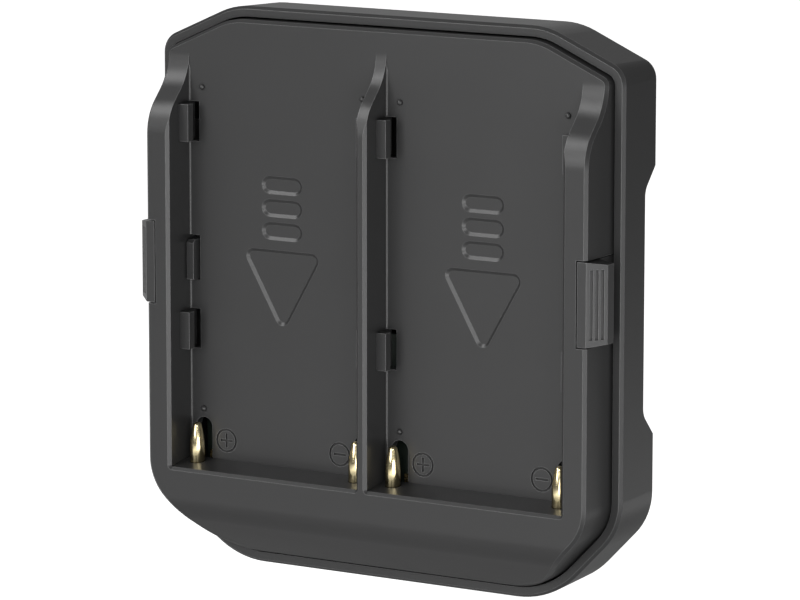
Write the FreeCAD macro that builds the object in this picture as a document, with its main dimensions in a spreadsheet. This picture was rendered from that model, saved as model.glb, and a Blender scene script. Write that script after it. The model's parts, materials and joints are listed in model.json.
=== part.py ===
import FreeCAD, Part
import math
import os
import Sketcher

# Battery plate with two bays, each for one camera battery of the 38.4 mm wide kind.
# Millimetres. In the working frame x runs to the right seen from the front, y to the back
# and z up. The floor of the bays is y = 0 and the shelf that the batteries stand on is z = 0.
# place() moves every piece so that the centre of the rear mounting face is the origin.

SIZES = {
    # Outline of the rear housing
    "base_half_width": 47.5,
    "base_top": 82.7,
    "base_bottom": 18.7,
    "base_front": 2.05,
    "base_back": 15.0,
    "base_draft": 2.2,
    "shoulder_run": 15.3,
    "shoulder_drop": 6.83,
    "shoulder_radius": 15.0,
    "side_radius": 4.0,
    "foot_run": 13.8,
    "foot_drop": 14.4,
    "foot_radius": 17.0,
    "foot_side_radius": 12.0,
    # Shell of the rear housing
    "rim_width": 1.9,
    "rim_bevel": 0.56,
    "back_wall": 2.0,
    "back_bevel": 0.7,
    # Finger scoops in the rear side edges
    "scoop_depth": 4.65,
    "scoop_reach": 9.0,
    "scoop_low": 14.7,
    "scoop_high": 54.25,
    "scoop_radius": 3.0,
    "scoop_wall": 1.6,
    # Front tray
    "tray_gap": 0.35,
    "tray_depth": 4.2,
    "floor_thickness": 1.8,
    "skirt_wall": 1.8,
    "wall_height": 7.1,
    "outer_bevel": 0.56,
    "ogee_height": 63.2,
    "rib_ogee_height": 65.6,
    "ogee_radius": 9.0,
    "toe_height": 8.7,
    "toe_radius": 6.5,
    "block_wall": 2.0,
    "shelf_wall": 2.2,
    # Battery bays
    "bay_pitch": 41.5,
    "bay_width": 39.4,
    "bay_corner_radius": 0.45,
    "front_bevel": 0.55,
    "mouth_radius": 0.9,
    "shelf_drop": 0.9,
    "runout_rise": 2.3,
    # Guide tabs on the bay walls, with the core windows behind them
    "tab_reach": 2.0,
    "tab_front": 3.5,
    "tab_thickness": 1.6,
    "tab_height": 6.75,
    "tab_upper": 61.55,
    "tab_lower": 23.7,
    "window_reach": 2.15,
    "window_margin": 0.25,
    # Direction marks in the bay floor
    "mark_depth": 0.36,
    "mark_slope": 58.0,
    "bar_length": 8.6,
    "bar_width": 3.24,
    "bar_low": 42.82,
    "bar_pitch": 4.15,
    "arrow_top": 39.42,
    "arrow_tip": 24.22,
    "arrow_half_width": 8.71,
    "arrow_radius": 1.5,
    # Polarity marks beside the contact pins
    "polarity_offset": 12.08,
    "polarity_height": 3.53,
    "polarity_radius": 2.25,
    "polarity_line": 0.42,
    "polarity_arm": 1.3,
    "polarity_depth": 0.3,
    # Contact pins, their slots and solder lugs
    "terminal_offset": 16.9,
    "terminal_setback": 2.3,
    "slot_radius": 1.75,
    "slot_top": 7.45,
    "pin_radius": 1.38,
    "pin_neck_radius": 0.88,
    "pin_tip_radius": 0.4,
    "pin_shoulder": 3.4,
    "pin_neck": 6.4,
    "pin_height": 6.95,
    "pin_tail": 0.6,
    "pin_fit": 0.05,
    "lug_width": 3.0,
    "lug_thickness": 0.5,
    "lug_overhang": 1.7,
    "lug_leg": 4.7,
    "lug_clearance": 0.8,
    # Release latches
    "latch_height": 36.45,
    "button_height": 14.8,
    "notch_depth": 2.0,
    "latch_clearance": 0.25,
    "latch_gap": 0.15,
    "stem_setback": 0.25,
    "thumb_slope": 2.75,
    "thumb_side": 2.1,
    "thumb_end_bevel": 0.5,
    "thumb_groove_width": 0.55,
    "thumb_groove_depth": 0.35,
    "thumb_groove_pitch": 1.0,
    "thumb_groove_length": 12.2,
    "tongue_height": 7.25,
    "tongue_front": 1.6,
    "tongue_reach": 1.7,
    "tongue_gap": 0.25,
    "tongue_lead": 0.6,
    "tongue_window_rise": 0.5,
    "slide_thickness": 2.2,
    "guide_rib": 1.3,
    "guide_reach": 7.0,
    # Latch springs
    "spring_radius": 1.5,
    "spring_wire": 0.4,
    "spring_turns": 3,
    "spring_recess": 0.4,
    "spring_peg_radius": 1.0,
    "spring_peg": 1.65,
    "spring_clearance": 0.25,
    # Circuit board and the parts on it
    "board_front": 4.6,
    "board_thickness": 1.6,
    "board_half_width": 40.0,
    "board_bottom": 5.0,
    "board_top": 25.5,
    "post_x": 30.0,
    "post_low": 0.4,
    "post_high": 21.0,
    "post_width": 4.0,
    "diode_x": 14.0,
    "diode_z": 19.0,
    "diode_width": 6.6,
    "diode_height": 6.1,
    "diode_rise": 2.3,
    "capacitor_x": 20.0,
    "capacitor_z": 4.5,
    "capacitor_radius": 3.15,
    "capacitor_rise": 5.4,
    "fuse_x": 19.0,
    "fuse_z": 4.5,
    "fuse_width": 6.1,
    "fuse_height": 2.7,
    "fuse_rise": 2.7,
    # Rear output block
    "output_z": 8.5,
    "output_half_width": 9.5,
    "output_height": 8.0,
    "output_recess": 0.6,
    "output_clearance": 0.2,
    "output_flange": 1.5,
    "output_contact_x": 4.75,
    "output_contact_width": 3.0,
    "output_contact_height": 4.0,
    "output_contact_proud": 0.35,
    # Screws and inserts
    "screw_x_high": 34.0,
    "screw_z_high": 70.0,
    "screw_x_low": 33.5,
    "screw_z_low": 9.0,
    "screw_radius": 1.2,
    "screw_length": 9.0,
    "screw_head_radius": 2.2,
    "screw_head": 1.6,
    "screw_seat": 2.4,
    "screw_boss_wall": 1.4,
    "boss_face": 8.0,
    "pilot_depth": 5.4,
    "recess_width": 0.5,
    "recess_share": 0.6,
    "thread_fit": 0.03,
    "through_fit": 0.2,
    "head_fit": 0.3,
    "insert_half_x": 30.0,
    "insert_half_z": 25.0,
    "insert_across_flats": 4.2,
    "insert_bore": 1.25,
    "insert_length": 4.0,
    "insert_sink": 0.2,
    "insert_fit": 0.04,
    "insert_boss_wall": 1.5,
}

doc = FreeCAD.newDocument("battery_plate")
Vector = FreeCAD.Vector
OPEN_RUN = 2.0
RUNS_PER_TURN = 8
RING_SIDES = 16
END_SIDES = 6
PIN_SIDES = 16
NORMAL = {"XY_Plane": 1, "XZ_Plane": -1, "YZ_Plane": 1}


class Dim:
    """A number together with the spreadsheet expression that gives it."""

    def __init__(self, value, text):
        self.value = value
        self.text = text

    def __add__(self, other):
        other = as_dim(other)
        return Dim(self.value + other.value, f"({self.text} + {other.text})")

    def __sub__(self, other):
        other = as_dim(other)
        return Dim(self.value - other.value, f"({self.text} - {other.text})")

    def __mul__(self, other):
        other = as_dim(other)
        return Dim(self.value * other.value, f"({self.text} * {other.text})")

    def __truediv__(self, other):
        other = as_dim(other)
        return Dim(self.value / other.value, f"({self.text} / {other.text})")

    def __neg__(self):
        return Dim(-self.value, f"(-1 * {self.text})")

    def __radd__(self, other):
        return as_dim(other) + self

    def __rsub__(self, other):
        return as_dim(other) - self

    __rmul__ = __mul__


def as_dim(number):
    """Let a plain number stand beside the named sizes."""
    if isinstance(number, Dim):
        return number
    return Dim(float(number), f"({float(number)})")


def at_least(dim, floor):
    """The larger of the two."""
    dim = as_dim(dim)
    floor = as_dim(floor)
    return Dim(max(dim.value, floor.value), f"max({dim.text}; {floor.text})")


def half_turn(rise, run):
    """Tangent of half the angle that a slope of rise over run turns through."""
    angle = math.atan2(rise.value, run.value)
    return Dim(math.tan(angle / 2), f"tan(atan({rise.text} / {run.text}) / 2)")


def slope_angle(rise, run):
    """Angle of a slope, in degrees."""
    angle = math.degrees(math.atan2(rise.value, run.value))
    return Dim(angle, f"atan({rise.text} / {run.text})")


class Sizes:
    """The spreadsheet, read back as named sizes."""

    def __init__(self, table):
        sheet = doc.addObject("Spreadsheet::Sheet", "sizes")
        for row, (name, value) in enumerate(table.items(), start=1):
            sheet.set(f"A{row}", name)
            sheet.set(f"B{row}", str(value))
            sheet.setAlias(f"B{row}", name)
        doc.recompute()
        for name in table:
            setattr(self, name, Dim(float(sheet.get(name)), f"sizes.{name}"))


s = Sizes(SIZES)
ROOT_TWO = Dim(math.sqrt(2), "sqrt(2)")
ROOT_THREE = Dim(math.sqrt(3), "sqrt(3)")


def bind(thing, path, dim):
    thing.setExpression(path, as_dim(dim).text)


# Sketches and features

def new_body(name):
    body = doc.addObject("PartDesign::Body", name)
    body.Label = name
    return body


def place(thing, x=0, y=0, z=0):
    """Shift a piece from the working frame to the rear mounting face's frame."""
    bind(thing, "Placement.Base.x", x)
    bind(thing, "Placement.Base.y", y - s.base_back)
    bind(thing, "Placement.Base.z", z - mount_z())


def new_sketch(body, name, plane, at):
    """A sketch on one of the body's origin planes, moved along that plane's positive axis."""
    sketch = body.newObject("Sketcher::SketchObject", name)
    support = [feature for feature in body.Origin.OriginFeatures if feature.Role == plane]
    sketch.AttachmentSupport = (support[0], "")
    sketch.MapMode = "FlatFace"
    bind(sketch, "AttachmentOffset.Base.z", NORMAL[plane] * as_dim(at))
    return sketch


def hold(sketch, kind, *where, size):
    index = sketch.addConstraint(Sketcher.Constraint(kind, *where, size.value))
    sketch.setExpression(f"Constraints[{index}]", size.text)


def hold_point(sketch, geometry, position, u, v):
    """Tie a point to the sketch's origin."""
    for kind, axis, size in (("DistanceX", -2, as_dim(u)), ("DistanceY", -1, as_dim(v))):
        if size.text == "(0.0)":
            sketch.addConstraint(Sketcher.Constraint("PointOnObject", geometry, position, axis))
        else:
            hold(sketch, kind, -1, 1, geometry, position, size=size)


def draw_circle(sketch, u, v, radius):
    u = as_dim(u)
    v = as_dim(v)
    centre = Vector(u.value, v.value, 0)
    circle = sketch.addGeometry(Part.Circle(centre, Vector(0, 0, 1), radius.value), False)
    hold_point(sketch, circle, 3, u, v)
    hold(sketch, "Radius", circle, size=radius)


def rounding(before, corner, after, radius):
    """Tangent points, centre and sense of the arc that rounds a corner."""
    arriving = (corner - before).normalize()
    leaving = (after - corner).normalize()
    turn = math.atan2(arriving.x * leaving.y - arriving.y * leaving.x, arriving.dot(leaving))
    reach = radius * math.tan(abs(turn) / 2)
    sense = 1 if turn > 0 else -1
    start = corner - arriving * reach
    centre = start + Vector(-arriving.y, arriving.x, 0) * (sense * radius)
    return start, corner + leaving * reach, centre, sense


def draw_arc(sketch, start, end, centre, sense, radius):
    first, last = (start, end) if sense > 0 else (end, start)
    begin = math.atan2(first.y - centre.y, first.x - centre.x)
    finish = math.atan2(last.y - centre.y, last.x - centre.x)
    circle = Part.Circle(centre, Vector(0, 0, 1), radius)
    return sketch.addGeometry(Part.ArcOfCircle(circle, begin, finish), False)


def draw_loop(sketch, corners):
    """A closed outline of straight sides. A corner given as (u, v, radius) is rounded."""
    sizes = [tuple(as_dim(number) for number in corner) for corner in corners]
    points = [Vector(corner[0].value, corner[1].value, 0) for corner in sizes]
    count = len(points)
    bends = []
    for index, corner in enumerate(sizes):
        if len(corner) == 3:
            around = (points[index - 1], points[index], points[(index + 1) % count])
            bends.append(rounding(*around, corner[2].value))
        else:
            bends.append((points[index], points[index], None, 0))
    sides = []
    for index in range(count):
        side = Part.LineSegment(bends[index][1], bends[(index + 1) % count][0])
        sides.append(sketch.addGeometry(side, False))
    for index, corner in enumerate(sizes):
        arriving, leaving = sides[index - 1], sides[index]
        start, end, centre, sense = bends[index]
        if centre is None:
            sketch.addConstraint(Sketcher.Constraint("Coincident", arriving, 2, leaving, 1))
            hold_point(sketch, leaving, 1, corner[0], corner[1])
            continue
        arc = draw_arc(sketch, start, end, centre, sense, corner[2].value)
        sharp = sketch.addGeometry(Part.Point(points[index]), True)
        hold_point(sketch, sharp, 1, corner[0], corner[1])
        sketch.addConstraint(Sketcher.Constraint("PointOnObject", sharp, 1, arriving))
        sketch.addConstraint(Sketcher.Constraint("PointOnObject", sharp, 1, leaving))
        near, far = (1, 2) if sense > 0 else (2, 1)
        sketch.addConstraint(Sketcher.Constraint("Tangent", arriving, 2, arc, near))
        sketch.addConstraint(Sketcher.Constraint("Tangent", arc, far, leaving, 1))
        hold(sketch, "Radius", arc, size=corner[2])


def draw_slot(sketch, start, end, radius):
    """A slot with round ends about two centres, the first left of or below the second."""
    start = tuple(as_dim(number) for number in start)
    end = tuple(as_dim(number) for number in end)
    first = Vector(start[0].value, start[1].value, 0)
    last = Vector(end[0].value, end[1].value, 0)
    along = (last - first).normalize()
    across = Vector(along.y, -along.x, 0) * radius.value
    heading = math.atan2(along.y, along.x)
    quarter = math.pi / 2
    sides = [
        sketch.addGeometry(Part.LineSegment(first + across, last + across), False),
        sketch.addGeometry(Part.LineSegment(last - across, first - across), False),
    ]
    ends = []
    for centre, begin in ((last, heading - quarter), (first, heading + quarter)):
        circle = Part.Circle(centre, Vector(0, 0, 1), radius.value)
        ends.append(sketch.addGeometry(Part.ArcOfCircle(circle, begin, begin + math.pi), False))
    for index in range(2):
        sketch.addConstraint(Sketcher.Constraint("Tangent", sides[index], 2, ends[index], 1))
        sketch.addConstraint(Sketcher.Constraint("Tangent", ends[index], 2, sides[1 - index], 1))
    hold_point(sketch, ends[0], 3, *end)
    hold_point(sketch, ends[1], 3, *start)
    hold(sketch, "Radius", ends[0], size=radius)


def box_loop(u_low, u_high, v_low, v_high, radius=None):
    corners = [(u_low, v_low), (u_high, v_low), (u_high, v_high), (u_low, v_high)]
    if radius is None:
        return corners
    return [(u, v, radius) for u, v in corners]


def extrude(body, kind, sketch, plane, length, taper=None):
    """Pad or pocket a sketch along the positive axis of its plane."""
    feature = body.newObject("PartDesign::" + kind, sketch.Name + "_" + kind.lower())
    feature.Profile = sketch
    bind(feature, "Length", length)
    feature.Reversed = (kind == "Pad") == (plane == "XZ_Plane")
    if taper is not None:
        bind(feature, "TaperAngle", taper)
    doc.recompute()
    return feature


def build(body, kind, name, plane, at, length, loops=(), circles=(), slots=(), taper=None):
    """Draw one sketch and pad or pocket it."""
    sketch = new_sketch(body, name, plane, at)
    for corners in loops:
        draw_loop(sketch, corners)
    for circle in circles:
        draw_circle(sketch, *circle)
    for slot in slots:
        draw_slot(sketch, *slot)
    return extrude(body, kind, sketch, plane, length, taper)


def dress(body, kind, name, size_path, size, wanted):
    """Fillet or chamfer every edge of the body so far that the test picks."""
    base = body.Tip
    names = []
    for number, edge in enumerate(base.Shape.Edges, start=1):
        if wanted(edge):
            names.append(f"Edge{number}")
    feature = body.newObject("PartDesign::" + kind, name)
    feature.Base = (base, names)
    bind(feature, size_path, size)
    doc.recompute()
    return feature


def lies_at(edge, axis, value):
    """Whether the whole edge lies in the plane where one coordinate has this value."""
    box = edge.BoundBox
    low = {"x": box.XMin, "y": box.YMin, "z": box.ZMin}[axis]
    high = {"x": box.XMax, "y": box.YMax, "z": box.ZMax}[axis]
    return abs(low - value) < TOUCH and abs(high - value) < TOUCH


TOUCH = 1e-4


# Places that several pieces share

def mount_z():
    return (s.base_top - s.base_bottom) / 2


def outline(inset):
    """The housing's front outline, moved inwards by inset."""
    half = s.base_half_width - inset
    floor = 0.3
    right = [
        (s.base_half_width - s.foot_run - inset * half_turn(s.foot_drop, s.foot_run),
         inset - s.base_bottom, at_least(s.foot_radius - inset, floor)),
        (half, s.foot_drop - s.base_bottom + inset * half_turn(s.foot_run, s.foot_drop),
         at_least(s.foot_side_radius - inset, floor)),
        (half, s.base_top - s.shoulder_drop - inset * half_turn(s.shoulder_run, s.shoulder_drop),
         at_least(s.side_radius - inset, floor)),
        (s.base_half_width - s.shoulder_run - inset * half_turn(s.shoulder_drop, s.shoulder_run),
         s.base_top - inset, at_least(s.shoulder_radius - inset, floor)),
    ]
    left = [(-x, z, radius) for x, z, radius in reversed(right)]
    return right + left


def tray_inset():
    return s.rim_width + s.tray_gap


def tray_side():
    return s.base_half_width - tray_inset()


def bay_edges():
    """Inner and outer wall faces of a bay, by distance from the middle."""
    return s.bay_pitch / 2 - s.bay_width / 2, s.bay_pitch / 2 + s.bay_width / 2


def terminals():
    """Centres of the contact pins along x."""
    return {
        "left_positive": -s.bay_pitch / 2 - s.terminal_offset,
        "left_negative": -s.bay_pitch / 2 + s.terminal_offset,
        "right_positive": s.bay_pitch / 2 - s.terminal_offset,
        "right_negative": s.bay_pitch / 2 + s.terminal_offset,
    }


def housing_screw_places():
    places = []
    for side in (-1, 1):
        places.append((side * s.screw_x_high, s.screw_z_high))
        places.append((side * s.screw_x_low, -s.screw_z_low))
    return places


def post_places():
    places = []
    for side in (-1, 1):
        for z in (s.post_low, s.post_high):
            places.append((side * s.post_x, z))
    return places


def insert_places():
    places = []
    for side in (-1, 1):
        for level in (-1, 1):
            places.append((side * s.insert_half_x, mount_z() + level * s.insert_half_z))
    return places


def span(side, near, far):
    """Low and high x of a stretch between two distances from the middle."""
    if side > 0:
        return near, far
    return -far, -near


def output_box(margin):
    """Low and high x and z of the output block's nose, grown by a margin."""
    half = s.output_height / 2 + margin
    return (-s.output_half_width - margin, s.output_half_width + margin, s.output_z - half,
            s.output_z + half)


def contact_box(side, margin):
    """Section of an output contact, grown by a margin."""
    middle = side * s.output_contact_x
    wide = s.output_contact_width / 2 + margin
    high = s.output_contact_height / 2 + margin
    return box_loop(middle - wide, middle + wide, s.output_z - high, s.output_z + high)


def square(x, z, half):
    return box_loop(x - half, x + half, z - half, z + half)


def hexagon(x, z, across):
    """Six corners about a centre, with two flats level."""
    corner = across / ROOT_THREE
    half = across / 2
    return [(x - corner, z), (x - corner / 2, z - half), (x + corner / 2, z - half), (x + corner, z),
            (x + corner / 2, z + half), (x - corner / 2, z + half)]


def shelf_underside():
    return -s.shelf_wall - s.shelf_drop


def pin_foot():
    return shelf_underside() - s.pin_tail


def board_back():
    return s.board_front + s.board_thickness


def slide_front():
    return s.floor_thickness + s.latch_gap


def spring_x():
    stem = tray_side() - s.stem_setback
    tongue = bay_edges()[1] - s.tongue_reach
    return (stem + tongue) / 2


def scoop_floor():
    return s.base_back - s.scoop_depth


def spring_seat():
    return scoop_floor() - s.scoop_wall + s.spring_recess


# Rear housing

def rear_housing():
    body = new_body("rear_housing")
    depth = s.base_back - s.base_front
    build(body, "Pad", "base_outline", "XZ_Plane", s.base_front, depth, loops=[outline(as_dim(0))],
          taper=-s.base_draft)
    dress(body, "Chamfer", "rim_edge", "Size", s.rim_bevel,
          lambda edge: lies_at(edge, "y", s.base_front.value))
    dress(body, "Chamfer", "rear_edge", "Size", s.back_bevel,
          lambda edge: lies_at(edge, "y", s.base_back.value))
    build(body, "Pocket", "cavity", "XZ_Plane", s.base_front, depth - s.back_wall,
          loops=[outline(s.rim_width)])
    add_scoops(body)
    add_screw_bosses(body)
    add_insert_bosses(body)
    window = box_loop(*output_box(s.output_clearance))
    build(body, "Pocket", "output_window", "XZ_Plane", s.base_back - s.back_wall - OPEN_RUN,
          s.back_wall + 2 * OPEN_RUN, loops=[window])
    place(body)


def add_scoops(body):
    """Hollows for the fingers in the two rear side edges, with their own wall behind."""
    rise = s.scoop_depth
    inner = s.base_half_width - s.scoop_reach - s.scoop_wall
    outer = s.base_half_width - s.rim_width / 2
    hump_front = scoop_floor() - s.scoop_wall
    humps = []
    for side in (-1, 1):
        humps.append(box_loop(*span(side, inner, outer), s.scoop_low - rise - s.scoop_wall,
                              s.scoop_high + rise + s.scoop_wall))
    build(body, "Pad", "scoop_backing", "XZ_Plane", hump_front,
          s.base_back - s.back_wall / 2 - hump_front, loops=humps)
    profile = [
        (scoop_floor(), s.scoop_low, s.scoop_radius),
        (s.base_back, s.scoop_low - rise, s.scoop_radius),
        (s.base_back, s.scoop_low - rise - s.scoop_radius),
        (s.base_back + OPEN_RUN, s.scoop_low - rise - s.scoop_radius),
        (s.base_back + OPEN_RUN, s.scoop_high + rise + s.scoop_radius),
        (s.base_back, s.scoop_high + rise + s.scoop_radius),
        (s.base_back, s.scoop_high + rise, s.scoop_radius),
        (scoop_floor(), s.scoop_high, s.scoop_radius),
    ]
    for side, start in ((1, s.base_half_width - s.scoop_reach), (-1, -s.base_half_width - OPEN_RUN)):
        build(body, "Pocket", "right_scoop" if side > 0 else "left_scoop", "YZ_Plane", start,
              s.scoop_reach + OPEN_RUN, loops=[profile])
    seat = s.spring_radius + s.spring_wire / 2 + s.spring_clearance
    build(body, "Pocket", "spring_seats", "XZ_Plane", hump_front, s.spring_recess,
          loops=[square(side * spring_x(), s.latch_height, seat) for side in (-1, 1)])


def add_screw_bosses(body):
    """Bosses that carry the housing screws, with counterbores in the rear face."""
    hole = s.screw_radius + s.through_fit
    seat = s.screw_head_radius + s.head_fit
    places = housing_screw_places()
    build(body, "Pad", "screw_bosses", "XZ_Plane", s.boss_face,
          s.base_back - s.back_wall / 2 - s.boss_face,
          loops=[square(x, z, seat + s.screw_boss_wall) for x, z in places])
    build(body, "Pocket", "screw_holes", "XZ_Plane", s.boss_face - OPEN_RUN,
          s.base_back - s.boss_face + 2 * OPEN_RUN, circles=[(x, z, hole) for x, z in places])
    build(body, "Pocket", "screw_seats", "XZ_Plane", s.base_back - s.screw_seat,
          s.screw_seat + OPEN_RUN, circles=[(x, z, seat) for x, z in places])


def add_insert_bosses(body):
    """Blind bosses for the threaded inserts that fix the plate to what carries it."""
    depth = s.insert_length + s.insert_sink
    front = s.base_back - depth - s.insert_boss_wall
    across = s.insert_across_flats + 2 * s.insert_fit
    places = insert_places()
    build(body, "Pad", "insert_bosses", "XZ_Plane", front, s.base_back - s.back_wall / 2 - front,
          loops=[hexagon(x, z, across + 2 * s.insert_boss_wall) for x, z in places])
    build(body, "Pocket", "insert_holes", "XZ_Plane", s.base_back - depth, depth + OPEN_RUN,
          loops=[hexagon(x, z, across) for x, z in places])


# Front tray

def front_tray():
    body = new_body("front_tray")
    build(body, "Pad", "tray_outline", "XZ_Plane", -s.wall_height, s.wall_height + s.tray_depth,
          loops=[outline(tray_inset())])
    cut_front(body)
    raise_rib(body)
    cut_bays(body)
    cut_back(body)
    cut_latch_openings(body)
    add_tabs(body)
    add_tray_bosses(body)
    cut_terminals(body)
    mark_floor(body)
    mark_poles(body)
    place(body)


def cut_front(body):
    """Slope the wall tops down to the floor in an ogee, bevel the toe and soften the edge."""
    width = 2 * (s.base_half_width + OPEN_RUN)
    start = -s.base_half_width - OPEN_RUN
    front = -s.wall_height
    high = s.base_top + OPEN_RUN
    clear = front - OPEN_RUN
    ogee = [(clear, s.ogee_height - s.ogee_radius)] + ogee_curve(s.ogee_height) + [(0, high), (clear, high)]
    build(body, "Pocket", "ogee", "YZ_Plane", start, width, loops=[ogee])
    drop = s.base_bottom - s.toe_height
    toe = [
        (front, s.toe_radius - s.toe_height),
        (front, -s.toe_height, s.toe_radius),
        (front + drop, -s.toe_height - drop),
        (clear, -s.toe_height - drop),
        (clear, s.toe_radius - s.toe_height),
    ]
    build(body, "Pocket", "toe", "YZ_Plane", start, width, loops=[toe])
    dress(body, "Chamfer", "tray_edge", "Size", s.outer_bevel, is_tray_edge)


def ogee_curve(height):
    """Profile of a wall top, from the wall's front at this height back to the floor."""
    return [(-s.wall_height, height - s.ogee_radius), (-s.wall_height, height, s.ogee_radius),
            (0, height + s.wall_height, s.ogee_radius)]


def raise_rib(body):
    """The middle rib keeps its full height further up than the side walls."""
    reach = bay_edges()[0] + s.bay_corner_radius
    top = s.rib_ogee_height + s.wall_height + s.ogee_radius
    root = s.floor_thickness / 2
    crest = ogee_curve(s.rib_ogee_height)
    build(body, "Pad", "rib_crest", "YZ_Plane", -reach, 2 * reach,
          loops=[[(root, s.rib_ogee_height - s.ogee_radius)] + crest + [(0, top), (root, top)]])


def is_tray_edge(edge):
    """Whether an edge runs round the tray between its front and its sides."""
    if edge.BoundBox.YMin > s.tray_depth.value - TOUCH:
        return False
    faces = [face for face in doc.getObject("toe_pocket").Shape.Faces if holds_edge(face, edge)]
    sideways = [abs(face_normal(face).y) < TOUCH for face in faces]
    return sideways.count(True) == 1


def holds_edge(face, edge):
    return any(edge.isSame(other) for other in face.Edges)


def face_normal(face):
    low_u, high_u, low_v, high_v = face.ParameterRange
    return face.normalAt((low_u + high_u) / 2, (low_v + high_v) / 2)


def cut_bays(body):
    """The two bays, with a bevel round each mouth and corner rounds that run out at the top."""
    inner, outer = bay_edges()
    front = -s.wall_height
    bevel = s.front_bevel
    clear = front - OPEN_RUN
    radius = s.bay_corner_radius
    sections = []
    mouths = []
    runouts = []
    for side in (-1, 1):
        low, high = span(side, inner, outer)
        sections.append([(low, 0, radius), (low, clear), (high, clear), (high, 0, radius)])
        sill = -s.shelf_drop - bevel
        mouths.append([(low - bevel, sill, s.mouth_radius), (high + bevel, sill, s.mouth_radius),
                       (high + bevel, s.base_top + OPEN_RUN), (low - bevel, s.base_top + OPEN_RUN)])
        ends = (s.rib_ogee_height, s.ogee_height) if side > 0 else (s.ogee_height, s.rib_ogee_height)
        low_end, high_end = [height + s.wall_height for height in ends]
        runouts.append([(low + radius, low_end), (high - radius, high_end), (high, high_end + s.runout_rise),
                        (high, s.base_top), (low, s.base_top), (low, low_end + s.runout_rise)])
    build(body, "Pocket", "bays", "XY_Plane", 0, s.base_top + OPEN_RUN, loops=sections)
    build(body, "Pocket", "runouts", "XZ_Plane", clear, s.wall_height + OPEN_RUN, loops=runouts)
    slope = [(0, 0), (front + bevel, -s.shelf_drop), (clear, -s.shelf_drop), (clear, 0)]
    for side in (-1, 1):
        low, high = span(side, inner, outer)
        build(body, "Pocket", "right_shelf" if side > 0 else "left_shelf", "YZ_Plane", low,
              high - low, loops=[slope])
    build(body, "Pocket", "mouths", "XZ_Plane", front, bevel, loops=mouths, taper=as_dim(-45))


def cut_back(body):
    """Hollow the tray from behind: a floor with a skirt, and an open toe block."""
    build(body, "Pocket", "back_hollow", "XZ_Plane", s.floor_thickness,
          s.tray_depth - s.floor_thickness + OPEN_RUN, loops=[outline(tray_inset() + s.skirt_wall)])
    back = s.floor_thickness + OPEN_RUN
    front = s.block_wall - s.wall_height
    roof = shelf_underside()
    slope_sum = -s.toe_height - s.wall_height + s.block_wall * ROOT_TWO
    deep = [(back, roof), (front, roof), (front, slope_sum - front),
            (back, slope_sum - back)]
    deep_half = s.base_half_width - s.foot_run - s.block_wall
    build(body, "Pocket", "toe_hollow", "YZ_Plane", -deep_half, 2 * deep_half, loops=[deep])
    low = pin_foot() - s.lug_thickness - s.lug_clearance
    wide_half = s.bay_pitch / 2 + s.terminal_offset + s.lug_width / 2 + s.lug_clearance
    build(body, "Pocket", "pin_hollow", "YZ_Plane", -wide_half, 2 * wide_half,
          loops=[box_loop(front, back, low, roof)])


def cut_latch_openings(body):
    """Notches in the side walls for the buttons, and windows for tabs and tongues."""
    half = s.button_height / 2 + s.latch_clearance
    wall = bay_edges()[1]
    notches = []
    windows = []
    ribs = []
    for side in (-1, 1):
        notches.append(box_loop(*span(side, tray_side() - s.notch_depth, tray_side() + OPEN_RUN),
                                s.latch_height - half, s.latch_height + half))
        tongue_half = s.tongue_height / 2 + s.tongue_gap
        windows.append(box_loop(*span(side, wall - s.window_reach, wall),
                                s.latch_height - tongue_half,
                                s.latch_height + tongue_half + s.tongue_window_rise))
        for level in (-1, 1):
            near = s.latch_height + level * half
            far = near + level * s.guide_rib
            low, high = (near, far) if level > 0 else (far, near)
            ribs.append(box_loop(*span(side, tray_side() - s.guide_reach, tray_side() - s.skirt_wall / 2),
                                 low, high))
    build(body, "Pad", "guide_ribs", "XZ_Plane", s.floor_thickness / 2,
          s.tray_depth - s.floor_thickness / 2, loops=ribs)
    build(body, "Pocket", "button_notches", "XZ_Plane", -s.wall_height - OPEN_RUN,
          s.wall_height + s.tray_depth + 2 * OPEN_RUN, loops=notches)
    for wall_face, inward in wall_faces():
        for level in (s.tab_lower, s.tab_upper):
            half_window = s.tab_height / 2 + s.window_margin
            windows.append(box_loop(*reach_from(wall_face, inward, 0, s.window_reach),
                                    level - half_window, level + half_window))
    build(body, "Pocket", "windows", "XZ_Plane", -s.bay_corner_radius,
          s.bay_corner_radius + s.floor_thickness + OPEN_RUN, loops=windows)


def wall_faces():
    """The four bay wall faces, each with the direction that points into its bay."""
    inner, outer = bay_edges()
    return [(-outer, 1), (-inner, -1), (inner, 1), (outer, -1)]


def reach_from(face, inward, back, reach):
    """Low and high x of a stretch that leaves a wall face."""
    root = face - inward * as_dim(back)
    end = face + inward * as_dim(reach)
    return (root, end) if inward > 0 else (end, root)


def add_tabs(body):
    """Guide tabs that hold the batteries' flanges to the floor."""
    tabs = []
    for face, inward in wall_faces():
        for level in (s.tab_lower, s.tab_upper):
            tabs.append(box_loop(*reach_from(face, inward, s.bay_corner_radius, s.tab_reach),
                                 level - s.tab_height / 2, level + s.tab_height / 2))
    build(body, "Pad", "tabs", "XZ_Plane", -s.tab_front, s.tab_thickness, loops=tabs)


def add_tray_bosses(body):
    """Bosses behind the floor for the housing screws, and posts that the board rests on."""
    root = s.floor_thickness / 2
    pilot = s.screw_radius + s.thread_fit
    build(body, "Pad", "tray_bosses", "XZ_Plane", root, s.boss_face - root,
          loops=[square(x, z, pilot + s.screw_boss_wall) for x, z in housing_screw_places()])
    build(body, "Pocket", "tray_pilots", "XZ_Plane", s.boss_face - s.pilot_depth,
          s.pilot_depth + OPEN_RUN, circles=[(x, z, pilot) for x, z in housing_screw_places()])
    build(body, "Pad", "board_posts", "XZ_Plane", root, s.board_front - root,
          loops=[square(x, z, s.post_width / 2) for x, z in post_places()])


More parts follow.
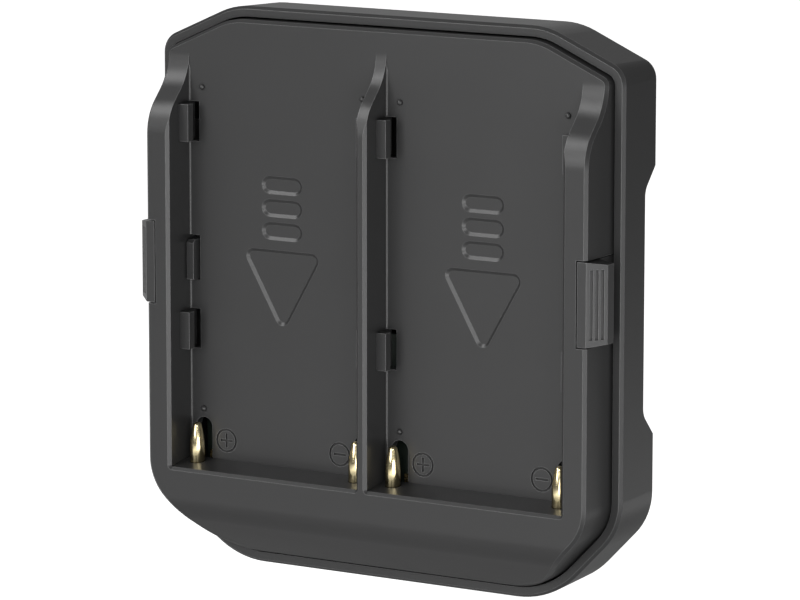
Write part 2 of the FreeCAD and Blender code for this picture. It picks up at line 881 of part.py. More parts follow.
def cut_terminals(body):
    """Holes in the shelf for the contact pins, and the arched slots behind them."""
    slots = [((x, 0), (x, s.slot_top - s.slot_radius), s.slot_radius) for x in terminals().values()]
    build(body, "Pocket", "contact_slots", "XZ_Plane", 0, s.floor_thickness + OPEN_RUN, slots=slots)
    hole = s.pin_radius + s.pin_fit
    build(body, "Pocket", "pin_holes", "XY_Plane", shelf_underside() - OPEN_RUN / 2,
          OPEN_RUN - shelf_underside(), circles=[(x, -s.terminal_setback, hole) for x in terminals().values()])


def mark_floor(body):
    """Recessed arrow and bars in each bay floor, for the way a battery slides in."""
    for side, word in ((-1, "left"), (1, "right")):
        middle = side * s.bay_pitch / 2
        marks = [[(middle - s.arrow_half_width, s.arrow_top, s.arrow_radius),
                  (middle, s.arrow_tip, s.arrow_radius),
                  (middle + s.arrow_half_width, s.arrow_top, s.arrow_radius)]]
        straight = (s.bar_length - s.bar_width) / 2
        for step in range(3):
            marks.append(round_bar(middle, s.bar_low + step * s.bar_pitch, straight, s.bar_width / 2))
        build(body, "Pocket", word + "_direction_marks", "XZ_Plane", 0, s.mark_depth, loops=marks,
              taper=-s.mark_slope)


def mark_poles(body):
    """Engraved rings with a plus or a minus beside the contact pins."""
    signs = []
    for place_name, x in terminals().items():
        pole = "positive" if "positive" in place_name else "negative"
        inward = s.terminal_offset - s.polarity_offset
        x = x + inward if pole == "positive" else x - inward
        rings = [polygon(x, s.polarity_height, s.polarity_radius),
                 polygon(x, s.polarity_height, s.polarity_radius - s.polarity_line)]
        build(body, "Pocket", place_name + "_ring", "XZ_Plane", 0, s.polarity_depth, loops=rings)
        signs.append(plus_sign(x) if pole == "positive" else minus_sign(x))
    build(body, "Pocket", "polarity_signs", "XZ_Plane", 0, s.polarity_depth, loops=signs)


def minus_sign(x):
    half = s.polarity_line / 2
    return box_loop(x - s.polarity_arm, x + s.polarity_arm, s.polarity_height - half, s.polarity_height + half)


def plus_sign(x):
    """Outline of a plus: each quarter has an arm's end and the inner corner beside it."""
    half = s.polarity_line / 2
    arm = s.polarity_arm
    corners = []
    for along, across in ((1, 0), (0, 1), (-1, 0), (0, -1)):
        for reach, shift in ((arm, -half), (arm, half), (half, half)):
            corners.append((x + along * reach - across * shift,
                            s.polarity_height + across * reach + along * shift))
    return corners


def polygon(u, v, radius, sides=RING_SIDES):
    """A ring of short straight sides about a centre."""
    corners = []
    for step in range(sides):
        turn = 2 * math.pi * step / sides
        corners.append((u + radius * math.cos(turn), v + radius * math.sin(turn)))
    return corners


def round_bar(u, v, straight, radius):
    """A bar about a centre, with ends rounded by short straight sides."""
    corners = []
    for end in (1, -1):
        for step in range(END_SIDES + 1):
            turn = math.pi * (step / END_SIDES - 0.5)
            corners.append((u + end * (straight + radius * math.cos(turn)), v + end * radius * math.sin(turn)))
    return corners


# Latches and springs

def latch(name, side):
    """Release button, slide and tongue in one moulding."""
    body = new_body(name)
    front = -s.wall_height
    stem_in = tray_side() - s.notch_depth + s.latch_clearance
    stem_out = tray_side() - s.stem_setback
    crest = tray_side() + s.thumb_slope
    wall = bay_edges()[1]
    tongue_in = wall - s.tongue_reach
    slide_back = slide_front() + s.slide_thickness
    thumb_back = front + s.thumb_slope + s.thumb_side
    plan = [
        (stem_in, front), (tray_side(), front), (crest, front + s.thumb_slope), (crest, thumb_back),
        (stem_out, thumb_back), (stem_out, slide_back), (tongue_in, slide_back),
        (tongue_in, slide_front()), (stem_in, slide_front()),
    ]
    plan = [(side * x, y) for x, y in plan]
    low = s.latch_height - s.button_height / 2
    build(body, "Pad", name + "_plan", "XY_Plane", low, s.button_height, loops=[plan])
    bevel_button(body, name, side, stem_out, crest)
    tongue = box_loop(*span(side, tongue_in, wall - s.tongue_gap), s.latch_height - s.tongue_height / 2,
                      s.latch_height + s.tongue_height / 2)
    build(body, "Pad", name + "_tongue", "XZ_Plane", -s.tongue_front,
          s.tongue_front + slide_front() + s.slide_thickness / 2, loops=[tongue])
    tongue_top = s.latch_height + s.tongue_height / 2
    lead = [(-s.tongue_front, tongue_top - s.tongue_lead), (-s.tongue_front + s.tongue_lead, tongue_top),
            (-s.tongue_front, tongue_top + OPEN_RUN / 2), (-s.tongue_front - OPEN_RUN / 2, tongue_top)]
    lead_start = span(side, tongue_in, wall)[0] - OPEN_RUN / 2
    build(body, "Pocket", name + "_lead", "YZ_Plane", lead_start, s.tongue_reach + OPEN_RUN, loops=[lead])
    groove_button(body, name, side)
    build(body, "Pad", name + "_peg", "XZ_Plane", slide_back - s.slide_thickness / 2,
          s.slide_thickness / 2 + s.spring_peg,
          circles=[(side * spring_x(), s.latch_height, s.spring_peg_radius)])
    place(body)


def bevel_button(body, name, side, stem_out, crest):
    """Bevel the button's two ends towards its crest."""
    reach = crest - tray_side()
    corners = []
    for level in (-1, 1):
        end = s.latch_height + level * s.button_height / 2
        corners.append([(side * tray_side(), end), (side * crest, end - level * s.thumb_end_bevel),
                        (side * (crest + reach), end - level * s.thumb_end_bevel),
                        (side * (crest + reach), end + level * OPEN_RUN),
                        (side * tray_side(), end + level * OPEN_RUN)])
    build(body, "Pocket", name + "_ends", "XZ_Plane", -s.wall_height - OPEN_RUN,
          s.thumb_slope + s.thumb_side + 2 * OPEN_RUN, loops=corners)


def groove_button(body, name, side):
    """Three grip grooves down the sloping thumb face."""
    grooves = []
    half = s.thumb_groove_width / ROOT_TWO / 2
    deep = s.thumb_groove_depth / ROOT_TWO
    for step in (-1, 0, 1):
        shift = s.thumb_slope / 2 + step * s.thumb_groove_pitch / ROOT_TWO
        x = tray_side() + shift
        y = shift - s.wall_height
        groove = [(x - half + deep, y - half - deep), (x + half + deep, y + half - deep),
                  (x + half - deep, y + half + deep), (x - half - deep, y - half + deep)]
        grooves.append([(side * u, v) for u, v in groove])
    build(body, "Pocket", name + "_grooves", "XY_Plane", s.latch_height - s.thumb_groove_length / 2,
          s.thumb_groove_length, loops=grooves)


def latch_spring(name, side):
    """Compression spring: a coil of short straight runs of six-sided wire."""
    wire = s.spring_wire.value / 2
    start = (slide_front() + s.slide_thickness).value + wire
    rise = spring_seat().value - wire - start
    runs = round(RUNS_PER_TURN * s.spring_turns.value)
    rings = []
    for run in range(runs + 1):
        turn = 2 * math.pi * run / RUNS_PER_TURN
        outward = Vector(math.cos(turn), 0, math.sin(turn))
        centre = outward * s.spring_radius.value + Vector(0, start + rise * run / runs, 0)
        rings.append([centre + outward * (wire * math.cos(math.pi * step / 3))
                      + Vector(0, wire * math.sin(math.pi * step / 3), 0) for step in range(6)])
    faces = [flat_face(rings[0]), flat_face(rings[-1])]
    for low, high in zip(rings, rings[1:]):
        for step in range(6):
            after = (step + 1) % 6
            faces.append(flat_face([low[step], low[after], high[step]]))
            faces.append(flat_face([low[after], high[after], high[step]]))
    spring = doc.addObject("Part::Feature", name)
    spring.Label = name
    spring.Shape = Part.makeSolid(Part.makeShell(faces))
    place(spring, side * spring_x(), 0, s.latch_height)


def flat_face(points):
    return Part.Face(Part.makePolygon(points + points[:1]))


# Electrical pieces

def contact_pin(name, x):
    """Turned pin, pressed through the shelf, that narrows to a blunt nose."""
    body = new_body(name)
    flat = math.cos(math.pi / PIN_SIDES)
    rings = [("shank", pin_foot(), s.pin_radius), ("taper", s.pin_shoulder, s.pin_radius),
             ("nose", s.pin_neck, s.pin_neck_radius), ("tip", s.pin_height, s.pin_tip_radius)]
    for (word, low, wide), (_, high, narrow) in zip(rings, rings[1:]):
        taper = -slope_angle((wide - narrow) * flat, high - low)
        build(body, "Pad", f"{name}_{word}", "XY_Plane", low, high - low,
              loops=[polygon(0, 0, wide, PIN_SIDES)], taper=taper)
    place(body, x, -s.terminal_setback)


def contact_lug(name, x):
    """Bent strip under a pin's foot that leads to the board."""
    body = new_body(name)
    low = pin_foot() - s.lug_thickness
    front = -s.terminal_setback - s.lug_overhang
    inner = s.board_front - s.lug_thickness
    bent = [(front, low), (s.board_front, low), (s.board_front, low + s.lug_leg),
            (inner, low + s.lug_leg), (inner, pin_foot()), (front, pin_foot())]
    build(body, "Pad", name + "_strip", "YZ_Plane", -s.lug_width / 2, s.lug_width, loops=[bent])
    place(body, x)


def circuit_board():
    body = new_body("circuit_board")
    edge = box_loop(-s.board_half_width, s.board_half_width, -s.board_bottom, s.board_top)
    build(body, "Pad", "board_edge", "XZ_Plane", s.board_front, s.board_thickness, loops=[edge])
    place(body)


def board_block(name, x, z, width, height, rise):
    """A square-cornered package on the back of the board."""
    body = new_body(name)
    edge = box_loop(x - width / 2, x + width / 2, z - height / 2, z + height / 2)
    build(body, "Pad", name + "_package", "XZ_Plane", board_back(), rise, loops=[edge])
    place(body)


def output_capacitor():
    body = new_body("output_capacitor")
    build(body, "Pad", "can", "XZ_Plane", board_back(), s.capacitor_rise,
          circles=[(-s.capacitor_x, s.capacitor_z, s.capacitor_radius)])
    place(body)


def output_block():
    """Insulator whose flange holds the board to its posts and whose nose fills the rear window."""
    body = new_body("output_block")
    inside = s.base_back - s.back_wall
    back = s.base_back - s.output_recess
    flange = box_loop(*output_box(s.output_flange))
    build(body, "Pad", "block_flange", "XZ_Plane", board_back(), inside - board_back(), loops=[flange])
    nose = box_loop(*output_box(as_dim(0)))
    build(body, "Pad", "block_nose", "XZ_Plane", inside - s.back_wall / 2, s.back_wall / 2 + back - inside,
          loops=[nose])
    slots = [contact_box(side, s.pin_fit) for side in (-1, 1)]
    build(body, "Pocket", "block_slots", "XZ_Plane", board_back() - OPEN_RUN,
          back - board_back() + 2 * OPEN_RUN, loops=slots)
    place(body)


def output_contact(name, side):
    """Fixed flat contact that stands on the board and reaches through the block."""
    body = new_body(name)
    length = s.base_back - s.output_recess + s.output_contact_proud - board_back()
    build(body, "Pad", name + "_bar", "XZ_Plane", board_back(), length,
          loops=[contact_box(side, as_dim(0))])
    place(body)


# Fasteners

def cylinder(name, x, y, z, radius, length):
    """A cylinder that runs to the back from y."""
    thing = doc.addObject("Part::Cylinder", name)
    bind(thing, "Radius", radius)
    bind(thing, "Height", length)
    lie_back(thing, x, y, z)
    return thing


def lie_back(thing, x, y, z):
    """Turn a primitive that stands on z so that it runs to the back from y."""
    thing.Placement.Rotation = FreeCAD.Rotation(Vector(1, 0, 0), -90)
    for axis, value in zip("xyz", (x, y, z)):
        bind(thing, "Placement.Base." + axis, value)


def block(name, x, y, z, width, depth, height):
    """A box about x and z that runs to the back from y."""
    thing = doc.addObject("Part::Box", name)
    for side, size in (("Length", width), ("Width", depth), ("Height", height)):
        bind(thing, side, size)
    for axis, value in zip("xyz", (x - width / 2, y, z - height / 2)):
        bind(thing, "Placement.Base." + axis, value)
    return thing


def screw(name, x, z, seat, radius, length, head_radius, head):
    """Pan-head screw put in from the back, with a cross recess in its head."""
    solid = doc.addObject("Part::MultiFuse", name + "_blank")
    solid.Shapes = [cylinder(name + "_shank", x, seat - length, z, radius, length),
                    cylinder(name + "_head", x, seat, z, head_radius, head)]
    arm = 2 * head_radius * s.recess_share
    floor = seat + head * (1 - s.recess_share)
    cross = doc.addObject("Part::MultiFuse", name + "_cross")
    cross.Shapes = [block(name + "_slot_a", x, floor, z, arm, head, s.recess_width),
                    block(name + "_slot_b", x, floor, z, s.recess_width, head, arm)]
    finished = doc.addObject("Part::Cut", name)
    finished.Base = solid
    finished.Tool = cross
    return finished


def group(name, pieces):
    thing = doc.addObject("Part::Compound", name)
    thing.Label = name
    thing.Links = pieces
    place(thing)


def housing_screws():
    seat = s.base_back - s.screw_seat
    group("housing_screws", [
        screw(f"housing_screw_{number}", x, z, seat, s.screw_radius, s.screw_length,
              s.screw_head_radius, s.screw_head)
        for number, (x, z) in enumerate(housing_screw_places(), start=1)])


def mount_inserts():
    """Threaded hexagonal brass inserts, sunk a little below the rear face."""
    start = s.base_back - s.insert_sink - s.insert_length
    pieces = []
    for number, (x, z) in enumerate(insert_places(), start=1):
        blank = doc.addObject("Part::Prism", f"insert_{number}_body")
        blank.Polygon = 6
        bind(blank, "Circumradius", s.insert_across_flats / ROOT_THREE)
        bind(blank, "Height", s.insert_length)
        lie_back(blank, x, start, z)
        sleeve = doc.addObject("Part::Cut", f"insert_{number}")
        sleeve.Base = blank
        sleeve.Tool = cylinder(f"insert_{number}_bore", x, start, z, s.insert_bore, s.insert_length)
        pieces.append(sleeve)
    group("mount_inserts", pieces)


# The whole plate

def build_all():
    rear_housing()
    front_tray()
    for name, side in (("left", -1), ("right", 1)):
        latch(name + "_latch", side)
        latch_spring(name + "_latch_spring", side)
        board_block(name + "_diode", side * s.diode_x, s.diode_z, s.diode_width, s.diode_height, s.diode_rise)
    for name, x in terminals().items():
        contact_pin(name + "_pin", x)
        contact_lug(name + "_lug", x)
    circuit_board()
    board_block("fuse", s.fuse_x, s.fuse_z, s.fuse_width, s.fuse_height, s.fuse_rise)
    output_capacitor()
    output_block()
    output_contact("positive_output_contact", -1)
    output_contact("negative_output_contact", 1)
    housing_screws()
    mount_inserts()
    doc.recompute()


def sub_parts():
    """Bodies, groups and springs: everything that becomes a file."""
    kinds = ("PartDesign::Body", "Part::Compound", "Part::Feature")
    return [thing for thing in doc.Objects if thing.TypeId in kinds]


def check_and_write():
    for thing in doc.Objects:
        if "Invalid" in thing.State or "Error" in thing.State:
            raise RuntimeError(f"{thing.Name} failed: {thing.State}")
    for thing in sub_parts():
        if thing.Shape.isNull() or not thing.Shape.isValid():
            raise RuntimeError(f"{thing.Label} has no valid shape")
    os.makedirs("parts", exist_ok=True)
    for thing in sub_parts():
        thing.Shape.exportStep(f"parts/{thing.Label}.step")


build_all()
check_and_write()
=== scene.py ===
import json
import math

import bmesh
import bpy
from mathutils import Matrix, Vector


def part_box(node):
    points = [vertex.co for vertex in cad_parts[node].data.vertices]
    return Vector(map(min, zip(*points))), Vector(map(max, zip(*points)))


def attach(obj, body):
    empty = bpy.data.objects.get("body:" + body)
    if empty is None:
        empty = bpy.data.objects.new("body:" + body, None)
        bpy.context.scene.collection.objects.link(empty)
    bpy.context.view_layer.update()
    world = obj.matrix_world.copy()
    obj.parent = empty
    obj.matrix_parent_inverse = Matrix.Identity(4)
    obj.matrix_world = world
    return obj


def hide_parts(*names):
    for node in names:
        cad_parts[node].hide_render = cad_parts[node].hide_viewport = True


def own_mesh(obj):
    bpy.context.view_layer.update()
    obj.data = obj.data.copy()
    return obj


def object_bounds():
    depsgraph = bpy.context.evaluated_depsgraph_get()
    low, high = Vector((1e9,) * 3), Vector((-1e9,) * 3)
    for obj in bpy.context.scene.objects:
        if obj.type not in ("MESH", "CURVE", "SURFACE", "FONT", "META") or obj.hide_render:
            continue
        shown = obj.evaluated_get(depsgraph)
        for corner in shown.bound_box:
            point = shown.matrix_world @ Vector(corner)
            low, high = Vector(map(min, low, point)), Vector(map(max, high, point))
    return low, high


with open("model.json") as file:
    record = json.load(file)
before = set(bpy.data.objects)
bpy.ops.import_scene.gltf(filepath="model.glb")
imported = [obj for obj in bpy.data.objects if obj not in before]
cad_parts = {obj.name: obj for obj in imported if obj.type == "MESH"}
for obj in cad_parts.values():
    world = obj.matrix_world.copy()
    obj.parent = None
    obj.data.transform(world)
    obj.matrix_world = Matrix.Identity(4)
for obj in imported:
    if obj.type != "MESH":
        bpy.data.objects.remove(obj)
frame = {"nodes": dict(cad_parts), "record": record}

CAD_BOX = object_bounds()
MM = 0.001
NODES = frame["nodes"]

# Camera of the photograph, in the part's frame
CAMERA_AZIMUTH = math.radians(31.147)
CAMERA_ELEVATION = math.radians(9.808)
CAMERA_ROLL = math.radians(0.033)
CAMERA_TARGET = Vector((3.887, -15.0, 0.693)) * MM
CAMERA_DISTANCE = 844.6 * MM
CAMERA_NEAREST = 50 * MM
FOCAL_LENGTH_PX = 4786.7
IMAGE_WIDTH_PX = 800
SENSOR_WIDTH = 36.0

# Places on the tray, in the part's frame
BAY_FLOOR_Y = -15.0 * MM
BAY_X = 20.75 * MM
TRAY_TOP = 48.45 * MM
TRAY_BEVEL = 0.56 * MM

# Trim of the tray: the cut stays this far outside the faces that are kept
TRIM_PROUD = 0.01 * MM
WELD_REACH = 0.0005 * MM
CUT_REACH = 0.001 * MM
SHARP_ANGLE = math.radians(28)

# Pips on the bay floors
PIP_X = 16.9 * MM
PIP_HEIGHTS = (-23.02 * MM, 35.83 * MM)
PIP_RADIUS = 0.56 * MM
PIP_RISE = 0.54 * MM
PIP_STEPS = 6
PIP_FLAT = 0.3
PIP_SIDES = 24

# Contact pins, from the foot of each pin
PIN_STRAIGHT = 6.2 * MM
PIN_TAPER_STEPS = 8
PIN_TAPER_CURVE = 1.6
PIN_NOSE = 0.75 * MM
PIN_NOSE_RADIUS = 0.86 * MM
PIN_NOSE_STEPS = 7
PIN_NOSE_FLAT = 0.2
PIN_TOP_GAP = 0.08 * MM
PIN_SIDES = 32

# Latch springs
SPRING_WIRE = 0.4 * MM
SPRING_TURNS = 3
SPRING_STEPS_PER_TURN = 28
SPRING_WIRE_SIDES = 10

# The middle range of a noise, and the samples of the nodes that feel for edges
NOISE_SPAN = (0.3, 0.7)
EDGE_SAMPLES = 6

# Moulded plastic: faint clouds in the colour, a fine grain, painted shade in grooves (less specular) and
# a painted highlight along outer edges (a lighter colour)
CLOUD_CELL = 14 * MM
CLOUD_SHARE = 0.07
GRAIN_CELL = 0.16 * MM
GRAIN_DEPTH = 0.002 * MM
GRAIN_SHINE = 0.04
GROOVE_REACH = 0.5 * MM
# Painted shade: the specular level is turned down in grooves and inner corners, which ambient occlusion
# finds
GROOVE_OPENNESS = (0.35, 0.85)
GROOVE_SHADE_SPECULAR = (0.1, 0.5)
# Painted highlight: outer edges get a lighter base colour that stands in for the light caught along them
EDGE_HIGHLIGHT_WIDTH = 0.15 * MM
EDGE_HIGHLIGHT_TURN = (0.88, 0.99)
EDGE_HIGHLIGHT_OPENNESS = (0.88, 0.99)
EDGE_HIGHLIGHT_LIGHTER = 7.0
EDGE_HIGHLIGHT_LIGHTEST = 0.7
# Each plastic: grey level, roughness, and the radius that its edges are softened to
PLASTICS = {
    "housing_plastic": (0.028, 0.36, 0.16 * MM),
    "tray_plastic": (0.028, 0.36, 0.07 * MM),
    "latch_plastic": (0.031, 0.36, 0.1 * MM),
    "insulator_plastic": (0.015, 0.4, 0.1 * MM),
    "component_black": (0.015, 0.5, 0.1 * MM),
    "component_ceramic": (0.5, 0.6, 0.1 * MM),
}

# Metal: slight tarnish in the colour, and fine turning lines
TARNISH_CELL = 1.1 * MM
LINES_CELL = 0.12 * MM
LINES_STRETCH = (0.15, 0.15, 1.0)
LINES_DEPTH = 0.002 * MM
LINES_SHINE_SHARE = 0.25
METAL_EDGE = 0.08 * MM
# Each metal: darker tone, lighter tone, roughness
METALS = {
    "component_can": ((0.6, 0.6, 0.62), (0.72, 0.72, 0.74), 0.3),
    "contact_gold": ((0.66, 0.54, 0.28), (0.86, 0.76, 0.5), 0.16),
    "lug_brass": ((0.6, 0.45, 0.2), (0.7, 0.55, 0.28), 0.3),
    "insert_brass": ((0.6, 0.45, 0.2), (0.7, 0.55, 0.28), 0.3),
    "spring_steel": ((0.45, 0.45, 0.47), (0.58, 0.58, 0.6), 0.3),
    "screw_steel": ((0.05, 0.05, 0.05), (0.09, 0.09, 0.09), 0.35),
}

# Coated board
WEAVE_CELL = 0.6 * MM
WEAVE_DEPTH = 0.01 * MM
WEAVE_TONES = ((0.002, 0.006, 0.003), (0.003, 0.009, 0.005))
WEAVE_ROUGHNESS = (0.5, 0.6)
BOARD_EDGE = 0.1 * MM

# Studio: the floor turns white between these distances from its middle, and plain again to the sides
STUDIO_LEVEL = 0.18
FLOOR_DROP = 100 * MM
FLOOR_HALF = 6.0
FLOOR_GREY = 0.55
FLOOR_ROUGHNESS = 0.9
WHITE_STARTS = (0.28, 0.42)
WHITE_ENDS_ACROSS = (0.3, 0.6)
# Each soft box: azimuth, elevation and distance from the part, width, height, and how bright its face is
SOFT_BOXES = {
    "front": (-15, 16, 1.0, 0.54, 0.44, 5.0),
    "upper_left": (-45, 42, 1.0, 0.4, 0.36, 6.8),
    "over_camera": (26, 20, 1.0, 0.34, 0.24, 9.0),
    "rear": (-165, 65, 1.0, 0.5, 0.36, 1.9),
    "back": (-149, 14, 1.2, 0.7, 0.4, 0.3),
    "low_right": (42, -8, 0.45, 0.34, 0.15, 5.1),
}


# Materials

class Shader:
    """A material with one Principled shader, and short ways to add nodes to it."""

    def __init__(self, name):
        self.material = bpy.data.materials.new(name)
        self.material.use_nodes = True
        self.tree = self.material.node_tree
        self.bsdf = self.tree.nodes["Principled BSDF"]
        self.place = self.add("ShaderNodeTexCoord").outputs["Object"]

    def add(self, kind, **settings):
        """A new node with these settings."""
        node = self.tree.nodes.new(kind)
        for key, value in settings.items():
            setattr(node, key, value)
        return node

    def link(self, source, target):
        """Lead one socket into another."""
        self.tree.links.new(source, target)

    def feed(self, name, source):
        """Lead a socket into an input of the Principled shader."""
        self.link(source, self.bsdf.inputs[name])

    def combine(self, operation, *sources):
        """A calculation with one or two sockets."""
        node = self.add("ShaderNodeMath", operation=operation)
        for source, socket in zip(sources, node.inputs):
            self.link(source, socket)
        return node.outputs["Value"]

    def noise(self, cell, detail=2.0, roughness=0.5, stretch=(1, 1, 1)):
        """Noise whose cells are about this many metres across."""
        mapping = self.add("ShaderNodeMapping")
        mapping.inputs["Scale"].default_value = stretch
        self.link(self.place, mapping.inputs["Vector"])
        node = self.add("ShaderNodeTexNoise")
        node.inputs["Scale"].default_value = 1.0 / cell
        node.inputs["Detail"].default_value = detail
        node.inputs["Roughness"].default_value = roughness
        self.link(mapping.outputs["Vector"], node.inputs["Vector"])
        return node.outputs["Fac"]

    def spread(self, source, low, high, span=NOISE_SPAN):
        """Map a span of the source to the range from low to high."""
        node = self.add("ShaderNodeMapRange")
        for key, value in zip(("From Min", "From Max", "To Min", "To Max"), (*span, low, high)):
            node.inputs[key].default_value = value
        self.link(source, node.inputs["Value"])
        return node.outputs["Result"]

    def mix(self, factor, low, high):
        """From a colour, or the colour of another socket, to a second colour."""
        node = self.add("ShaderNodeMix", data_type="RGBA")
        self.link(factor, node.inputs["Factor"])
        if isinstance(low, bpy.types.NodeSocket):
            self.link(low, node.inputs["A"])
        else:
            node.inputs["A"].default_value = (*low, 1)
        node.inputs["B"].default_value = (*high, 1)
        return node.outputs["Result"]

    def softened(self, radius):
        """The way the surface faces, with its edges softened to this radius."""
        node = self.add("ShaderNodeBevel", samples=EDGE_SAMPLES)
        node.inputs["Radius"].default_value = radius
        return node.outputs["Normal"]

    def openness(self, reach):
        """One on open faces and outer edges, less in grooves and inner corners."""
        node = self.add("ShaderNodeAmbientOcclusion", samples=EDGE_SAMPLES)
        node.inputs["Distance"].default_value = reach
        return node.outputs["AO"]

    def outer_edges(self, openness, radius):
        """One along outer edges, and zero on faces and in corners."""
        turn = self.add("ShaderNodeVectorMath", operation="DOT_PRODUCT")
        self.link(self.softened(radius), turn.inputs[0])
        self.link(self.add("ShaderNodeNewGeometry").outputs["Normal"], turn.inputs[1])
        edges = self.spread(turn.outputs["Value"], 1.0, 0.0, EDGE_HIGHLIGHT_TURN)
        return self.combine("MULTIPLY", edges, self.spread(openness, 0.0, 1.0, EDGE_HIGHLIGHT_OPENNESS))

    def relief(self, height, depth, edge):
        """Bump of this depth over edges softened to this radius."""
        bump = self.add("ShaderNodeBump")
        bump.inputs["Distance"].default_value = depth
        bump.inputs["Strength"].default_value = 1.0
        self.link(height, bump.inputs["Height"])
        self.link(self.softened(edge), bump.inputs["Normal"])
        self.feed("Normal", bump.outputs["Normal"])


def grey(level):
    """A grey that is very slightly cool."""
    return (level, level, level * 1.01)


def moulded_plastic(name, level, roughness, edge):
    """Matte plastic with a fine moulded grain, faint clouds, painted shade in grooves and a painted
    highlight along outer edges.
    """
    shader = Shader(name)
    cloud = shader.noise(CLOUD_CELL, detail=3.0)
    grain = shader.noise(GRAIN_CELL, roughness=0.6)
    openness = shader.openness(GROOVE_REACH)
    plain = shader.mix(cloud, grey(level * (1 - CLOUD_SHARE)), grey(level * (1 + CLOUD_SHARE)))
    # Painted highlight: the lighter grey along outer edges stands in for light that the edges catch
    edge_highlight = grey(min(level * EDGE_HIGHLIGHT_LIGHTER, EDGE_HIGHLIGHT_LIGHTEST))
    shader.feed("Base Color", shader.mix(shader.outer_edges(openness, EDGE_HIGHLIGHT_WIDTH), plain, edge_highlight))
    shader.feed("Roughness", shader.spread(grain, roughness - GRAIN_SHINE, roughness + GRAIN_SHINE))
    # Painted shade: less specular in grooves and inner corners
    shader.feed("Specular IOR Level", shader.spread(openness, *GROOVE_SHADE_SPECULAR, GROOVE_OPENNESS))
    shader.relief(grain, GRAIN_DEPTH, edge)
    return shader.material


def bright_metal(name, dark, light, roughness):
    """Plated or turned metal with fine turning lines and slight tarnish."""
    shader = Shader(name)
    tarnish = shader.noise(TARNISH_CELL, detail=3.0)
    lines = shader.noise(LINES_CELL, detail=1.0, stretch=LINES_STRETCH)
    change = roughness * LINES_SHINE_SHARE
    shader.feed("Base Color", shader.mix(tarnish, dark, light))
    shader.feed("Roughness", shader.spread(lines, roughness - change, roughness + change))
    shader.bsdf.inputs["Metallic"].default_value = 1.0
    shader.relief(lines, LINES_DEPTH, METAL_EDGE)
    return shader.material


def solder_mask(name):
    """Green coated laminate with a faint weave under the coat."""
    shader = Shader(name)
    weave = shader.noise(WEAVE_CELL, detail=1.0)
    shader.feed("Base Color", shader.mix(weave, *WEAVE_TONES))
    shader.feed("Roughness", shader.spread(weave, *WEAVE_ROUGHNESS))
    shader.relief(weave, WEAVE_DEPTH, BOARD_EDGE)
    return shader.material


def make_materials():
    """The material of each slot."""
    materials = {"board_laminate": solder_mask("board_laminate")}
    for name, values in PLASTICS.items():
        materials[name] = moulded_plastic(name, *values)
    for name, values in METALS.items():
        materials[name] = bright_metal(name, *values)
    return materials


MATERIALS = make_materials()


def dress_nodes():
    """Give every CAD node the material of its slot."""
    for part in frame["record"]["subparts"]:
        mesh = NODES[part["node"]].data
        mesh.materials.clear()
        mesh.materials.append(MATERIALS[part["material_slot"]])


# Pieces of the scene

def smooth_mesh(name, shape):
    """A smooth mesh with its faces turned outward."""
    bmesh.ops.recalc_face_normals(shape, faces=shape.faces)
    mesh = bpy.data.meshes.new(name)
    shape.to_mesh(mesh)
    shape.free()
    mesh.shade_smooth()
    return mesh


def add_piece(mesh, slot):
    """Put a mesh into the scene as a piece that rides on the plate."""
    mesh.materials.append(MATERIALS[slot])
    piece = bpy.data.objects.new(mesh.name, mesh)
    bpy.context.scene.collection.objects.link(piece)
    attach(piece, "plate")
    return piece


def trim(shape, point, away):
    """Cut off what lies past a plane, and close the cut."""
    everything = shape.verts[:] + shape.edges[:] + shape.faces[:]
    bmesh.ops.bisect_plane(shape, geom=everything, dist=CUT_REACH, plane_no=away,
                           plane_co=point + away * TRIM_PROUD, clear_outer=True)
    bmesh.ops.holes_fill(shape, edges=[edge for edge in shape.edges if edge.is_boundary], sides=0)


def add_tray():
    """The tray with its rib trimmed flush with the bevel and the edge at the top."""
    shape = bmesh.new()
    shape.from_mesh(NODES["front_tray"].data)
    bmesh.ops.remove_doubles(shape, verts=shape.verts, dist=WELD_REACH)
    trim(shape, Vector((0, BAY_FLOOR_Y, TRAY_TOP - TRAY_BEVEL)), Vector((0, -1, 1)).normalized())
    trim(shape, Vector((0, 0, TRAY_TOP)), Vector((0, 0, 1)))
    mesh = smooth_mesh("front_tray_trimmed", shape)
    if "custom_normal" in mesh.attributes:
        mesh.attributes.remove(mesh.attributes["custom_normal"])
    mesh.set_sharp_from_angle(angle=SHARP_ANGLE)
    tray = add_piece(mesh, "tray_plastic")
    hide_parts("front_tray")
    tray.modifiers.new("even_normals", "WEIGHTED_NORMAL").keep_sharp = True


def whole_turn(steps):
    """The angles of a whole turn in equal steps."""
    return [2 * math.pi * step / steps for step in range(steps)]


def bridge(shape, rings):
    """Join rings of points one after the other into a closed form."""
    steps = len(rings[0])
    for low, high in zip(rings, rings[1:]):
        for step in range(steps):
            after = (step + 1) % steps
            shape.faces.new((low[step], low[after], high[after], high[step]))
    shape.faces.new(rings[0])
    shape.faces.new(rings[-1])


def turn_profile(shape, profile, place, sides):
    """Turn (radius, height) points about an axis, and set the form in place."""
    rings = []
    for radius, height in profile:
        points = [Vector((radius * math.cos(angle), radius * math.sin(angle), height))
                  for angle in whole_turn(sides)]
        rings.append([shape.verts.new(place @ point) for point in points])
    bridge(shape, rings)


def round_end(radius, rise, steps, flat):
    """(radius, height) points up a round end that closes with a small flat, given as part of a step."""
    angles = [math.pi / 2 * step / (steps + flat) for step in range(steps + 1)]
    return [(radius * math.cos(angle), rise * math.sin(angle)) for angle in angles]


